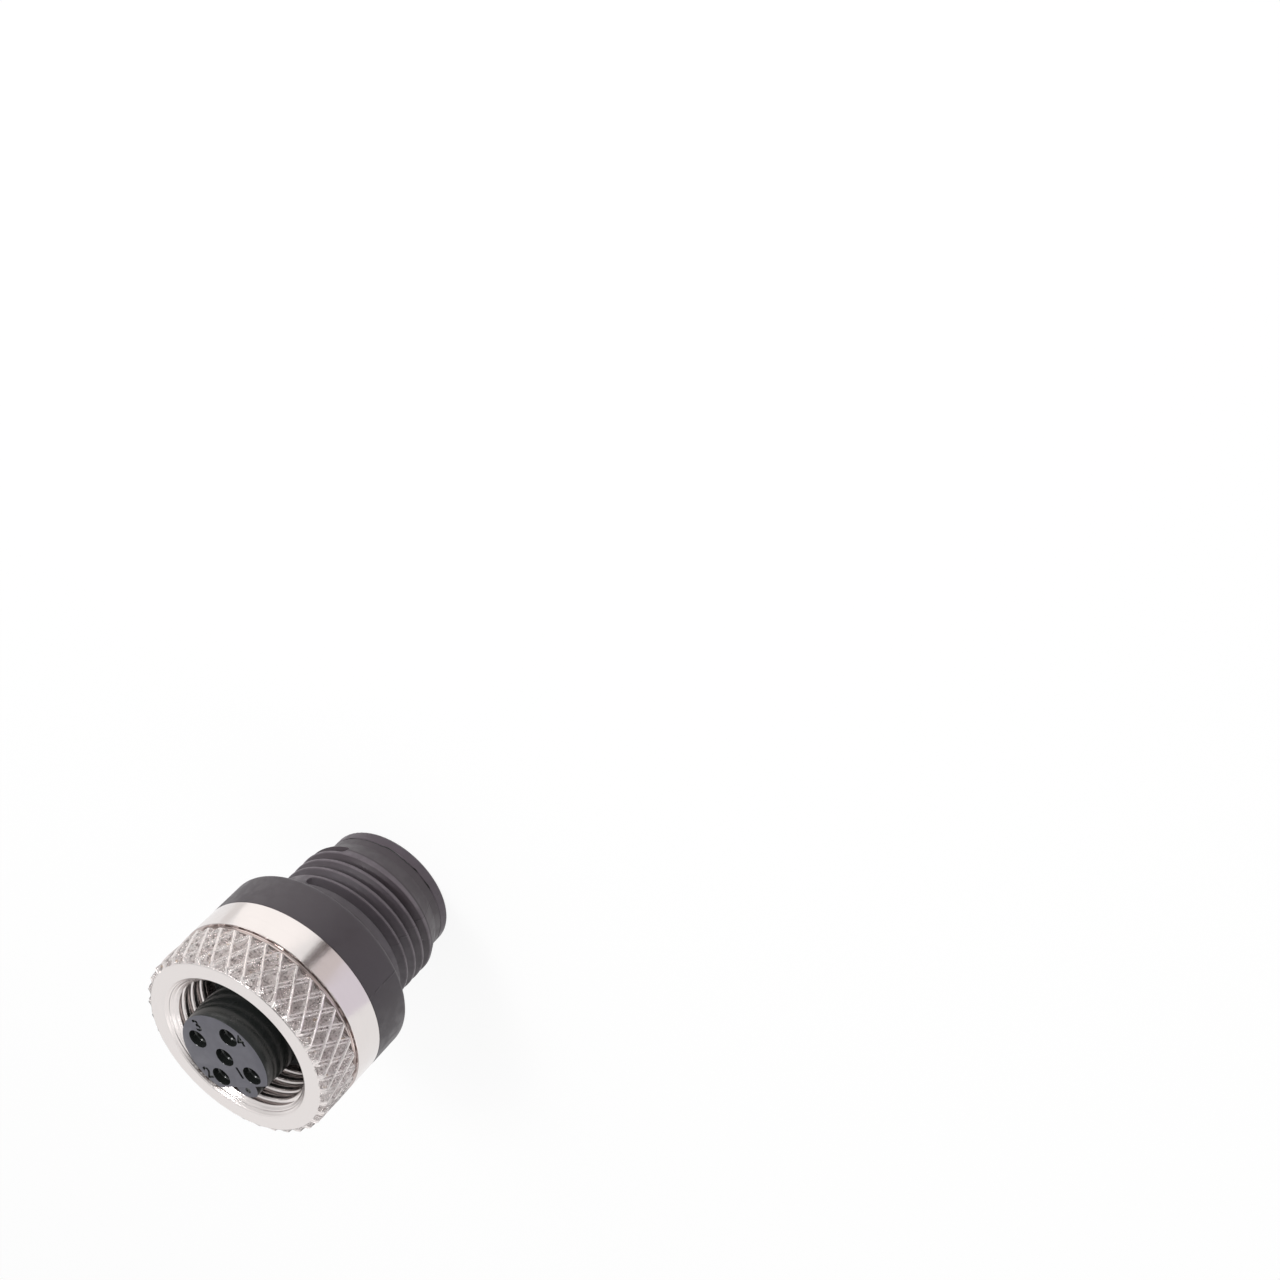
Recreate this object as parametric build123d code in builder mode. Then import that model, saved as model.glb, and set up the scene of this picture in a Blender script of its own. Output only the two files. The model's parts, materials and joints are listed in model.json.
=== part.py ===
from build123d import *
import os
from math import cos, pi, radians, tan

os.makedirs("parts", exist_ok=True)

# Round connector adapter, socket side up, standing on the rim of its plug side.
# The origin is the centre of that rim, and +Z runs along the axis to the socket face.
# Contact 1 lies on -X, 2 on +Y, 3 on +X, 4 on -Y, and 5 on the axis.

# Lengths along the axis, from the plug rim upwards
rim_length = 0.9
collar_length = 0.7
lead_length = 1.4
thread_length = 4.1
neck_length = 2.0
grip_length = 3.35
nut_end_play = 0.05
nut_length = 6.5
socket_face_proud = 1.0

# Clearances, measured on the radius
running_clearance = 0.06
seat_clearance = 0.02

# Socket insert
stem_diameter = 7.7
stem_nose_step = 0.1
stem_nose_length = 1.3
stem_edge_chamfer = 0.06
flange_clearance = 0.16
flange_overhang = 0.6
flange_thickness = 0.7
key_angle = 135
key_flat_wall = 0.18
key_rib_width = 2.05
key_rib_setback = 0.2
key_root_radius = 0.15
entry_recess_depth = 1.0
entry_clearance = 0.075
entry_wall = 0.4
countersink_width = 0.1
countersink_angle = 80

# Plug insert
plug_cavity_clearance = 0.1
plug_cavity_depth = 8.0
plug_shell_wall = 0.6
plug_floor_thickness = 1.4
plug_rim_radius = 0.2
plug_joint_chamfer = 0.08
plug_mouth_chamfer = 0.2

# Housing, from the plug shell outwards
collar_wall = 0.7
thread_step = 0.7
grip_edge_radius = 0.35
neck_root_radius = 0.3

# Coupling nut, from the thread outwards
nut_thread_height = 0.49
nut_thread_length = 3.1
nut_relief_clearance = 0.15
nut_collar_thickness = 1.0
counterbore_depth = 1.0
mouth_clearance = 0.28
mouth_chamfer = 0.2
front_ring_width = 1.23
front_bevel_rise = 0.49
front_bevel_length = 0.4
knurl_depth = 0.45
knurl_starts = 36
knurl_helix_angle = 30
knurl_phase = 7.3
knurl_back_bevel = 0.15
band_length = 2.48
band_edge_chamfer = 0.05
groove_width = 0.3
groove_depth = 0.22

# Seals
face_seal_section = 1.0
inner_seal_thickness = 0.6

# Contacts
contact_circle_diameter = 4.8
pin_diameter = 1.0
pin_setback = 1.4
pin_tip_radius = 0.35
pin_collar_length = 0.8
tail_diameter = 0.8
tail_length = 1.6
tail_bore_spare = 0.2
body_length = 3.0
barb_height = 0.1
barb_length = 0.6
barb_setback = 0.4
tine_wall = 0.14
tine_setback = 0.2
tine_bore_depth = 5.2
tine_slot_width = 0.2
tine_slot_length = 3.6
tine_mouth_chamfer = 0.1
sleeve_play = 0.01
sleeve_wall = 0.1

cut_overrun = 0.5

# Stations along the axis
lead_base = rim_length + collar_length
thread_base = lead_base + lead_length
neck_base = thread_base + thread_length
grip_base = neck_base + neck_length
grip_top = grip_base + grip_length
nut_base = grip_top + nut_end_play
nut_top = nut_base + nut_length
nut_collar_top = nut_base + nut_collar_thickness
flange_base = nut_collar_top + nut_end_play
flange_top = flange_base + flange_thickness
stem_face = nut_top + socket_face_proud
plug_floor_top = plug_cavity_depth + plug_floor_thickness
insert_base = plug_floor_top + inner_seal_thickness
tine_base = plug_floor_top + body_length
entry_recess_base = stem_face - entry_recess_depth
contact_bore_top = entry_recess_base - entry_wall

# Contacts, from the pin outwards
contact_ring_radius = contact_circle_diameter / 2
tine_diameter = pin_diameter + 2 * tine_wall
contact_diameter = tine_diameter + 2 * (sleeve_play + sleeve_wall)
barb_diameter = contact_diameter + 2 * barb_height
contact_bore_radius = contact_diameter / 2 + seat_clearance
entry_hole_diameter = pin_diameter + 2 * entry_clearance
countersink_diameter = entry_hole_diameter + 2 * countersink_width

# Plug end, from the stem of the mating socket outwards
plug_cavity_radius = stem_diameter / 2 + plug_cavity_clearance
plug_shell_radius = plug_cavity_radius + plug_shell_wall
collar_diameter = 2 * (plug_shell_radius + collar_wall)
male_thread_diameter = collar_diameter + 2 * thread_step

# Coupling nut, round the thread of the mating plug
nut_thread_diameter = male_thread_diameter - 2 * nut_thread_height
nut_relief_diameter = male_thread_diameter + 2 * nut_relief_clearance
mouth_diameter = male_thread_diameter + 2 * mouth_clearance
front_ring_diameter = mouth_diameter + 2 * front_ring_width
knurl_crest_diameter = front_ring_diameter + 2 * front_bevel_rise
grip_diameter = knurl_crest_diameter

# Socket insert: its flange goes in through the nut's thread
stem_nose_diameter = stem_diameter - 2 * stem_nose_step
flange_diameter = nut_thread_diameter - 2 * flange_clearance
hub_diameter = flange_diameter - 2 * flange_overhang
nut_bore_radius = hub_diameter / 2 + running_clearance
key_to_contact_angle = 45
key_flat_distance = (
    contact_ring_radius * cos(radians(key_to_contact_angle)) + contact_bore_radius + key_flat_wall
)

contact_spots = [
    (-contact_ring_radius, 0),
    (0, contact_ring_radius),
    (contact_ring_radius, 0),
    (0, -contact_ring_radius),
    (0, 0),
]


def write(part, name):
    part.label = name
    export_step(part, f"parts/{name}.step")


def level(height, turn=0):
    return Plane.XY.offset(height).rotated((0, 0, turn))


def upright(spot):
    """The XZ plane moved to a contact's place: x is the distance from its axis."""
    return Plane(origin=(*spot, 0), x_dir=(1, 0, 0), z_dir=(0, -1, 0))


def axis_at(spot):
    return Axis((*spot, 0), (0, 0, 1))


def beside_key(clearance):
    """What the key flat takes off a round stem, less the rib left in its middle."""
    with BuildSketch() as outline:
        with Locations((key_flat_distance + clearance, 0)):
            Rectangle(stem_diameter, 2 * stem_diameter, align=(Align.MIN, Align.CENTER))
        with Locations((stem_diameter / 4, 0)):
            SlotOverall(
                stem_diameter / 2 + 2 * clearance,
                key_rib_width + 2 * clearance,
                mode=Mode.SUBTRACT,
            )
    return outline.sketch


def diamond_knurl(base, top):
    """Rolled knurl: two sets of ridges that cross, with pyramid pits between them, as a solid bar."""
    columns = 2 * knurl_starts
    half_pitch = pi * knurl_crest_diameter / columns
    rows = max(1, round((top - base) * tan(radians(knurl_helix_angle)) / half_pitch))

    def corner(row, column):
        depth = knurl_depth if (row + column) % 2 else 0
        with BuildLine(level(base + (top - base) * row / rows)):
            angle = knurl_phase + 360 * column / columns
            spoke = PolarLine((0, 0), knurl_crest_diameter / 2 - depth, angle=angle)
        return spoke @ 1

    def facet(*corners):
        return Face(Wire.make_polygon(corners))

    facets = [
        facet(*[corner(0, column) for column in range(columns)]),
        facet(*[corner(rows, column) for column in range(columns)]),
    ]
    for row in range(rows):
        for column in range(columns):
            near, far = corner(row, column), corner(row + 1, column + 1)
            side, over = corner(row, column + 1), corner(row + 1, column)
            if (row + column) % 2:
                near, side, far, over = side, near, over, far
            facets += [facet(near, side, far), facet(near, far, over)]
    return Solid(Shell(facets))


# Housing: grip ring, neck, plug thread at its crest size, lead taper and collar, moulded in one
with BuildPart() as housing:
    with BuildSketch(Plane.XZ):
        with BuildLine():
            Polyline(
                (plug_shell_radius + seat_clearance, rim_length),
                (collar_diameter / 2 - plug_joint_chamfer, rim_length),
                (collar_diameter / 2, rim_length + plug_joint_chamfer),
                (collar_diameter / 2, lead_base),
                (male_thread_diameter / 2, thread_base),
                (male_thread_diameter / 2, grip_base),
                (grip_diameter / 2, grip_base),
                (grip_diameter / 2, grip_top),
                (hub_diameter / 2 + seat_clearance, grip_top),
                (hub_diameter / 2 + seat_clearance, insert_base),
                (plug_shell_radius + seat_clearance, insert_base),
                close=True,
            )
        make_face()
    revolve(axis=Axis.Z)
    back_edges = housing.edges().filter_by_position(Axis.Z, grip_base, grip_base)
    fillet(back_edges.sort_by(SortBy.RADIUS)[-1], radius=grip_edge_radius)
    back_edges = housing.edges().filter_by_position(Axis.Z, grip_base, grip_base)
    fillet(back_edges.sort_by(SortBy.RADIUS)[0], radius=neck_root_radius)
write(housing.part, "housing")

# Coupling nut: knurled bar, turned to a plain band behind, with the inner collar
# that pulls on the socket flange
knurl_base = nut_base + band_length + groove_width
with BuildPart() as coupling_nut:
    add(diamond_knurl(knurl_base, nut_top))
    with BuildSketch(Plane.XZ):
        with BuildLine():
            Polyline(
                (0, knurl_base),
                (knurl_crest_diameter / 2 - knurl_back_bevel, knurl_base),
                (knurl_crest_diameter / 2, knurl_base + knurl_back_bevel),
                (knurl_crest_diameter / 2, nut_top - front_bevel_length),
                (front_ring_diameter / 2, nut_top),
                (0, nut_top),
                close=True,
            )
        make_face()
    revolve(axis=Axis.Z, mode=Mode.INTERSECT)
    with BuildSketch(Plane.XZ):
        with BuildLine():
            Polyline(
                (0, nut_base),
                (grip_diameter / 2 - band_edge_chamfer, nut_base),
                (grip_diameter / 2, nut_base + band_edge_chamfer),
                (grip_diameter / 2, nut_base + band_length),
                (grip_diameter / 2 - groove_depth, nut_base + band_length),
                (grip_diameter / 2 - groove_depth, knurl_base),
                (0, knurl_base),
                close=True,
            )
        make_face()
    revolve(axis=Axis.Z)
    with BuildSketch(Plane.XZ):
        with BuildLine():
            Polyline(
                (0, nut_base - cut_overrun),
                (nut_bore_radius, nut_base - cut_overrun),
                (nut_bore_radius, nut_collar_top),
                (nut_relief_diameter / 2, nut_collar_top),
                (nut_relief_diameter / 2, nut_top - counterbore_depth - nut_thread_length),
                (nut_thread_diameter / 2, nut_top - counterbore_depth - nut_thread_length),
                (nut_thread_diameter / 2, nut_top - counterbore_depth),
                (mouth_diameter / 2 - mouth_chamfer, nut_top - counterbore_depth),
                (mouth_diameter / 2 - mouth_chamfer, nut_top - mouth_chamfer),
                (mouth_diameter / 2, nut_top),
                (mouth_diameter / 2, nut_top + cut_overrun),
                (0, nut_top + cut_overrun),
                close=True,
            )
        make_face()
    revolve(axis=Axis.Z, mode=Mode.SUBTRACT)
write(coupling_nut.part, "coupling_nut")

# Socket insert: hub pressed into the housing, flange that traps the nut, keyed stem
with BuildPart() as socket_insert:
    with BuildSketch(Plane.XZ):
        with BuildLine():
            Polyline(
                (0, insert_base),
                (hub_diameter / 2, insert_base),
                (hub_diameter / 2, flange_base),
                (flange_diameter / 2, flange_base),
                (flange_diameter / 2, flange_top),
                (stem_diameter / 2, flange_top),
                (stem_diameter / 2, stem_face - stem_nose_length),
                (stem_nose_diameter / 2, stem_face - stem_nose_length),
                (stem_nose_diameter / 2, stem_face - stem_edge_chamfer),
                (stem_nose_diameter / 2 - stem_edge_chamfer, stem_face),
                (0, stem_face),
                close=True,
            )
        make_face()
    revolve(axis=Axis.Z)
    with BuildSketch(level(flange_top, key_angle)) as key_cut:
        add(beside_key(0))
        roots = key_cut.vertices().group_by(SortBy.DISTANCE)[0]
        fillet(roots, radius=key_root_radius)
    extrude(amount=stem_face - flange_top, mode=Mode.SUBTRACT)
    with BuildSketch(level(stem_face - key_rib_setback, key_angle)):
        with Locations((key_flat_distance, 0)):
            Rectangle(stem_diameter, stem_diameter, align=(Align.MIN, Align.CENTER))
    extrude(amount=key_rib_setback, mode=Mode.SUBTRACT)
    with BuildSketch(level(insert_base)):
        with Locations(*contact_spots):
            Circle(contact_bore_radius)
    extrude(amount=contact_bore_top - insert_base, mode=Mode.SUBTRACT)
    with BuildSketch(level(insert_base)):
        with Locations(*contact_spots):
            Circle(barb_diameter / 2 + seat_clearance)
    extrude(amount=barb_setback + barb_length, mode=Mode.SUBTRACT)
    with BuildSketch(level(entry_recess_base)):
        with Locations(*contact_spots):
            Circle(contact_bore_radius)
    extrude(amount=entry_recess_depth, mode=Mode.SUBTRACT)
    with Locations(*[Plane(origin=(*spot, entry_recess_base)) for spot in contact_spots]):
        CounterSinkHole(
            entry_hole_diameter / 2,
            countersink_diameter / 2,
            depth=entry_wall + cut_overrun,
            counter_sink_angle=countersink_angle,
        )
write(socket_insert.part, "socket_insert")

# Plug insert: shell and floor that carry the pins, with a rim that closes the collar
with BuildPart() as plug_insert:
    with BuildSketch(Plane.XZ):
        with BuildLine():
            Polyline(
                (0, plug_cavity_depth),
                (plug_cavity_radius, plug_cavity_depth),
                (plug_cavity_radius, plug_mouth_chamfer),
                (plug_cavity_radius + plug_mouth_chamfer, 0),
                (collar_diameter / 2, 0),
                (collar_diameter / 2, rim_length - plug_joint_chamfer),
                (collar_diameter / 2 - plug_joint_chamfer, rim_length),
                (plug_shell_radius, rim_length),
                (plug_shell_radius, plug_floor_top),
                (0, plug_floor_top),
                close=True,
            )
        make_face()
    revolve(axis=Axis.Z)
    rim_edges = plug_insert.edges().filter_by_position(Axis.Z, 0, 0)
    fillet(rim_edges.sort_by(SortBy.RADIUS)[-1], radius=plug_rim_radius)
    # Land that meets the flat of the mating stem, with the groove for its rib
    with BuildSketch(level(rim_length, key_angle)):
        add(beside_key(plug_cavity_clearance))
        Circle((plug_cavity_radius + plug_shell_radius) / 2, mode=Mode.INTERSECT)
    extrude(amount=plug_cavity_depth - rim_length)
    with BuildSketch(level(plug_cavity_depth)):
        with Locations(*contact_spots):
            Circle(pin_diameter / 2 + seat_clearance)
    extrude(amount=plug_floor_thickness, mode=Mode.SUBTRACT)
    with BuildSketch(level(plug_floor_top - pin_collar_length)):
        with Locations(*contact_spots):
            Circle(contact_bore_radius)
    extrude(amount=pin_collar_length, mode=Mode.SUBTRACT)
write(plug_insert.part, "plug_insert")

# Face seal: O-ring round the foot of the stem, on the flange
with BuildPart() as face_seal:
    with BuildSketch(Plane.XZ):
        with Locations(
            (
                (stem_diameter + face_seal_section) / 2 + seat_clearance,
                flange_top + face_seal_section / 2,
            )
        ):
            Circle(face_seal_section / 2)
    revolve(axis=Axis.Z)
write(face_seal.part, "face_seal")

# Inner seal: elastomer disc clamped between the two inserts, round the contacts
with BuildPart() as inner_seal:
    with BuildSketch(level(plug_floor_top)):
        Circle(plug_shell_radius)
        with Locations(*contact_spots):
            Circle(contact_bore_radius, mode=Mode.SUBTRACT)
    extrude(amount=inner_seal_thickness)
write(inner_seal.part, "inner_seal")

for number, spot in enumerate(contact_spots, start=1):
    # Contact pin: round nose, collar seated in the plug floor, tail in the socket contact
    with BuildPart() as contact_pin:
        with BuildSketch(upright(spot)):
            with BuildLine():
                Polyline(
                    (0, pin_setback),
                    (pin_diameter / 2, pin_setback),
                    (pin_diameter / 2, plug_floor_top - pin_collar_length),
                    (contact_diameter / 2, plug_floor_top - pin_collar_length),
                    (contact_diameter / 2, plug_floor_top),
                    (tail_diameter / 2, plug_floor_top),
                    (tail_diameter / 2, plug_floor_top + tail_length),
                    (0, plug_floor_top + tail_length),
                    close=True,
                )
            make_face()
        revolve(axis=axis_at(spot))
        fillet(contact_pin.edges().group_by(Axis.Z)[0], radius=pin_tip_radius)
    write(contact_pin.part, f"contact_pin_{number}")

    # Socket contact: turned body with a barb and a bored end slotted into four tines
    tine_top = contact_bore_top - tine_setback
    with BuildPart() as socket_contact:
        with BuildSketch(upright(spot)):
            with BuildLine():
                Polyline(
                    (0, plug_floor_top + tail_length + tail_bore_spare),
                    (tail_diameter / 2 + seat_clearance, plug_floor_top + tail_length + tail_bore_spare),
                    (tail_diameter / 2 + seat_clearance, plug_floor_top),
                    (contact_diameter / 2, plug_floor_top),
                    (contact_diameter / 2, insert_base + barb_setback),
                    (barb_diameter / 2, insert_base + barb_setback),
                    (barb_diameter / 2, insert_base + barb_setback + barb_length),
                    (contact_diameter / 2, insert_base + barb_setback + barb_length),
                    (contact_diameter / 2, tine_base),
                    (tine_diameter / 2, tine_base),
                    (tine_diameter / 2, tine_top),
                    (pin_diameter / 2 + tine_mouth_chamfer, tine_top),
                    (pin_diameter / 2, tine_top - tine_mouth_chamfer),
                    (pin_diameter / 2, tine_top - tine_bore_depth),
                    (0, tine_top - tine_bore_depth),
                    close=True,
                )
            make_face()
        revolve(axis=axis_at(spot))
        with BuildSketch(Plane(origin=(*spot, tine_top - tine_slot_length))):
            with PolarLocations(0, 2, angular_range=90, endpoint=True):
                Rectangle(2 * tine_diameter, tine_slot_width)
        extrude(amount=tine_slot_length, mode=Mode.SUBTRACT)
    write(socket_contact.part, f"socket_contact_{number}")

    # Contact sleeve: closed tube over the tines, seated on the contact's shoulder
    with BuildPart() as contact_sleeve:
        with BuildSketch(Plane(origin=(*spot, tine_base))):
            Circle(contact_diameter / 2)
            Circle(contact_diameter / 2 - sleeve_wall, mode=Mode.SUBTRACT)
        extrude(amount=contact_bore_top - tine_base)
    write(contact_sleeve.part, f"contact_sleeve_{number}")
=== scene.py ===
import json
from math import cos, radians, sin

import bmesh
import bpy
from mathutils import Euler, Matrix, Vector


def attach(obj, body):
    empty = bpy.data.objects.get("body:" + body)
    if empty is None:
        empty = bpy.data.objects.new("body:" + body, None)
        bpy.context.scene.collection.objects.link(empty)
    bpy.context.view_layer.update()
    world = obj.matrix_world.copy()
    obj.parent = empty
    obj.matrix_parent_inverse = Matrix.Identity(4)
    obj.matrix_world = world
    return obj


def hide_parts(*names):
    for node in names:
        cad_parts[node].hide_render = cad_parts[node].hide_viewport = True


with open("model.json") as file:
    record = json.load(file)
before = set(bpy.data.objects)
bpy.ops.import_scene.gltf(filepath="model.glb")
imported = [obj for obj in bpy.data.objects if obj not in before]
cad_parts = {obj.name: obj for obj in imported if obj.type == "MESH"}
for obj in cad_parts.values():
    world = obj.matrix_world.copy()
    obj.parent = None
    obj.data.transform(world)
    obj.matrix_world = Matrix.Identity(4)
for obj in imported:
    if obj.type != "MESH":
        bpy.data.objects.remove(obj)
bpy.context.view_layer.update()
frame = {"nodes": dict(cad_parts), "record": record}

mm = 0.001
print("frame loaded:", len(frame["nodes"]), "nodes")


# camera
cameraValues = {
    "place": (-50.35, -145.22, 105.25),  # mm
    "turn": (-37.89, 30.86, -165.56),  # degrees
    "lens": 68.3,
    "sensor": 36.0,
    "clip": (0.01, 50),
}
camera = bpy.data.objects.new("camera", bpy.data.cameras.new("camera"))
bpy.context.scene.collection.objects.link(camera)
camera.location = [value * mm for value in cameraValues["place"]]
camera.rotation_euler = Euler([radians(value) for value in cameraValues["turn"]])
camera.data.lens = cameraValues["lens"]
camera.data.sensor_width = cameraValues["sensor"]
camera.data.clip_start, camera.data.clip_end = cameraValues["clip"]
bpy.context.scene.camera = camera


# modelling helpers
mergeWithin = 1e-7  # m, while a piece is made
finalMergeWithin = 2e-7  # m, when it is finished
grooveEndAngles = (22, 44, 64, 80)  # steps of the half circle that ends a groove
nearPlane = 0.01  # mm from the plane where a sweep begins or ends


def pickOnly(piece):
    if bpy.context.object and bpy.context.object.mode != "OBJECT":
        bpy.ops.object.mode_set(mode="OBJECT")
    bpy.ops.object.select_all(action="DESELECT")
    piece.select_set(True)
    bpy.context.view_layer.objects.active = piece


def applyPlace():
    # puts the place, turn and scale of what is selected into its mesh
    bpy.ops.object.transform_apply(location=True, rotation=True, scale=True)


def editAll():
    bpy.ops.object.mode_set(mode="EDIT")
    bpy.ops.mesh.select_all(action="SELECT")


def extrudeBy(x, y, z):
    # in mm
    bpy.ops.mesh.extrude_region_move(TRANSFORM_OT_translate={"value": (x * mm, y * mm, z * mm)})


def startPrimitive(name, add, **values):
    bpy.ops.object.select_all(action="DESELECT")
    add(**values)
    piece = bpy.context.object
    piece.name = piece.data.name = name
    applyPlace()
    return piece


def turnOnLathe(name, profile, sides):
    # profile holds (radius, height) in mm, ring by ring. It closes where the last point is the first
    radius, height = profile[0]
    piece = startPrimitive(
        name, bpy.ops.mesh.primitive_circle_add,
        vertices=sides, radius=radius * mm, location=(0, 0, height * mm),
    )
    editAll()
    for nextRadius, nextHeight in profile[1:]:
        extrudeBy(0, 0, nextHeight - height)
        if nextRadius != radius:
            grow = nextRadius / radius
            bpy.ops.transform.resize(
                value=(grow, grow, 1), center_override=(0, 0, nextHeight * mm)
            )
        radius, height = nextRadius, nextHeight
    closeMesh()
    return piece


def closeMesh():
    bpy.ops.mesh.select_all(action="SELECT")
    bpy.ops.mesh.remove_doubles(threshold=mergeWithin)
    bpy.ops.mesh.select_all(action="DESELECT")
    bpy.ops.mesh.select_mode(type="EDGE")
    bpy.ops.mesh.select_non_manifold()
    bpy.ops.mesh.fill_holes(sides=0)
    bpy.ops.mesh.select_all(action="SELECT")
    bpy.ops.mesh.normals_make_consistent(inside=False)
    bpy.ops.object.mode_set(mode="OBJECT")


def drawOutline(name, points):
    # one vertex is drawn along the points, in mm, and the outline closed
    piece = startPrimitive(name, bpy.ops.mesh.primitive_plane_add, size=mm, location=(0, 0, 0))
    editAll()
    bpy.ops.mesh.merge(type="CENTER")
    bpy.ops.mesh.select_mode(type="VERT")
    bpy.ops.mesh.select_all(action="SELECT")
    here = Vector(points[0])
    bpy.ops.transform.translate(value=here * mm)
    for point in points[1:]:
        step = (Vector(point) - here) * mm
        bpy.ops.mesh.extrude_vertices_move(TRANSFORM_OT_translate={"value": step})
        here = Vector(point)
    bpy.ops.mesh.select_all(action="SELECT")
    bpy.ops.mesh.edge_face_add()
    bpy.ops.object.mode_set(mode="OBJECT")
    return piece


def applyModifier(piece, kind, **values):
    pickOnly(piece)
    modifier = piece.modifiers.new(kind.lower(), kind)
    for key, value in values.items():
        setattr(modifier, key, value)
    bpy.ops.object.modifier_apply(modifier=modifier.name)


def screwUp(piece, turn, rise, steps, iterations=1, ends=()):
    # sweeps an outline round Z: turn in degrees and rise in mm for each iteration
    applyModifier(
        piece, "SCREW", axis="Z", angle=radians(turn), screw_offset=rise * mm,
        steps=steps, render_steps=steps, iterations=iterations, use_smooth_shade=False,
    )
    bpy.ops.object.mode_set(mode="EDIT")
    for end in ends:
        roundGrooveEnd(piece, *end)
    closeMesh()


def roundGrooveEnd(piece, low, high, sideways, centre, reach):
    # the open end between two heights is drawn out sideways and shrinks like a half circle
    pickEdgeLoop(piece, low, high)
    gone, size = 0, 1
    for angle in grooveEndAngles:
        far, small = reach * sin(radians(angle)), cos(radians(angle))
        extrudeBy(0, sideways * (far - gone), 0)
        grow = small / size
        bpy.ops.transform.resize(
            value=(grow, 1, grow), center_override=(centre[0] * mm, 0, centre[1] * mm)
        )
        gone, size = far, small


def pickEdgeLoop(piece, low, high):
    # the open edges in the plane where a sweep begins or ends, between two heights
    bpy.ops.mesh.select_mode(type="EDGE")
    bpy.ops.mesh.select_all(action="DESELECT")
    mesh = bmesh.from_edit_mesh(piece.data)
    for edge in mesh.edges:
        spots = [vertex.co / mm for vertex in edge.verts]
        edge.select = edge.is_boundary and all(
            abs(spot.y) < nearPlane and spot.x > 0 and low < spot.z < high for spot in spots
        )
    bmesh.update_edit_mesh(piece.data)


def pickVertices(piece, wanted):
    # leaves the piece in edit mode with the vertices selected whose height and radius are wanted
    pickOnly(piece)
    bpy.ops.object.mode_set(mode="EDIT")
    bpy.ops.mesh.select_mode(type="VERT")
    bpy.ops.mesh.select_all(action="DESELECT")
    mesh = bmesh.from_edit_mesh(piece.data)
    for vertex in mesh.verts:
        x, y, z = vertex.co / mm
        vertex.select = wanted(z, (x * x + y * y) ** 0.5)
    bmesh.update_edit_mesh(piece.data)


def turnMesh(piece, angle):
    pickOnly(piece)
    piece.rotation_euler = (0, 0, radians(angle))
    applyPlace()


def moveMesh(piece, x, y, z):
    # in mm
    pickOnly(piece)
    piece.location = (x * mm, y * mm, z * mm)
    applyPlace()


def ownCopy(piece):
    # a copy with its own mesh
    copy = piece.copy()
    copy.data = piece.data.copy()
    bpy.context.scene.collection.objects.link(copy)
    return copy


def copiesRound(piece, count, angle):
    # count copies, angle degrees apart, joined into the first
    copies = [piece]
    for number in range(1, count):
        copy = ownCopy(piece)
        copy.rotation_euler = (0, 0, radians(angle * number))
        copies.append(copy)
    pickOnly(piece)
    for copy in copies:
        copy.select_set(True)
    applyPlace()
    bpy.ops.object.join()


def arcPoints(centre, radius, first, last, count):
    spots = []
    for number in range(count + 1):
        angle = radians(first + (last - first) * number / count)
        spots.append((centre[0] + radius * cos(angle), centre[1] + radius * sin(angle)))
    return spots


def combine(piece, other, operation):
    applyModifier(piece, "BOOLEAN", object=other, operation=operation, solver="MANIFOLD")
    bpy.data.objects.remove(other)


def finishPiece(piece, body, nodes, sharpAngle=30):
    pickOnly(piece)
    editAll()
    bpy.ops.mesh.remove_doubles(threshold=finalMergeWithin)
    bpy.ops.mesh.normals_make_consistent(inside=False)
    bpy.ops.object.mode_set(mode="OBJECT")
    bpy.ops.object.shade_smooth_by_angle(angle=radians(sharpAngle))
    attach(piece, body)
    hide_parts(*nodes)
    print(f"{piece.name}: {len(piece.data.polygons)} faces")


# coupling nut, in mm and degrees
nutValues = {
    "sides": 216, "sharpAngle": 16,
    # heights, from the back of the band to the front face
    "base": 12.47, "collarTop": 13.5, "threadBase": 14.9, "bandTop": 14.98, "knurlBase": 15.28,
    "threadTop": 18.24, "stepHeight": 18.765, "top": 19.0,
    # radii, from the bore outwards
    "bore": 4.76, "threadInner": 5.46, "stepRadius": 5.975, "relief": 6.10, "mouth": 6.23,
    "barInner": 7.3, "ringOuter": 7.46, "knurlCore": 7.5, "grooveRadius": 7.70, "outer": 7.95,
    # edges
    "edge": 0.03, "bandRound": 0.045, "backBevel": 0.15, "mouthRound": 0.02,
    "grooveFillet": 0.02, "grooveLip": 0.05, "grooveDrop": 0.09,
    "ringInset": 0.01, "ringDrop": 0.015, "ringRound": 0.04, "ringFoot": 0.06,
    "stepWidth": 0.02, "stepDrop": 0.05,
    # inside thread: depth of its rounded groove, and half of its width there
    "pitch": 1.0, "turns": 5, "threadSteps": 96,
    "grooveShape": ((-0.12, 0.48), (0.0, 0.44), (0.02, 0.35), (0.08, 0.25), (0.18, 0.17), (0.3, 0.12),
                    (0.52, 0.07)),
    # knurl: the lean is in degrees for each mm, and the phase holds at phaseHeight
    "starts": 36, "knurlSteps": 13, "lean": -4.3, "phaseHeight": 16.1,
    "ridgePhase": 4.0, "ridgeSeed": 3, "crossPhase": 0.6, "crossSeed": 8, "crossHeight": 0.38,
    "crushed": 0.028, "crushEven": 0.5, "clearOfCore": 0.05,
    "ridgeStart": 0.08, "ridgeEnd": 0.02, "ridgeTip": 0.1, "ridgeRoot": 0.3, "rootNarrower": 0.04,
    # ridges: share of the height, and half of the width there
    "ridgeShape": ((0.0, 0.61), (0.22, 0.36), (0.66, 0.15), (1.0, 0.045)),
    "crossShape": ((0.0, 0.61), (0.30, 0.40), (0.90, 0.20), (1.0, 0.13), (0.72, 0.02)),
}


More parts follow.
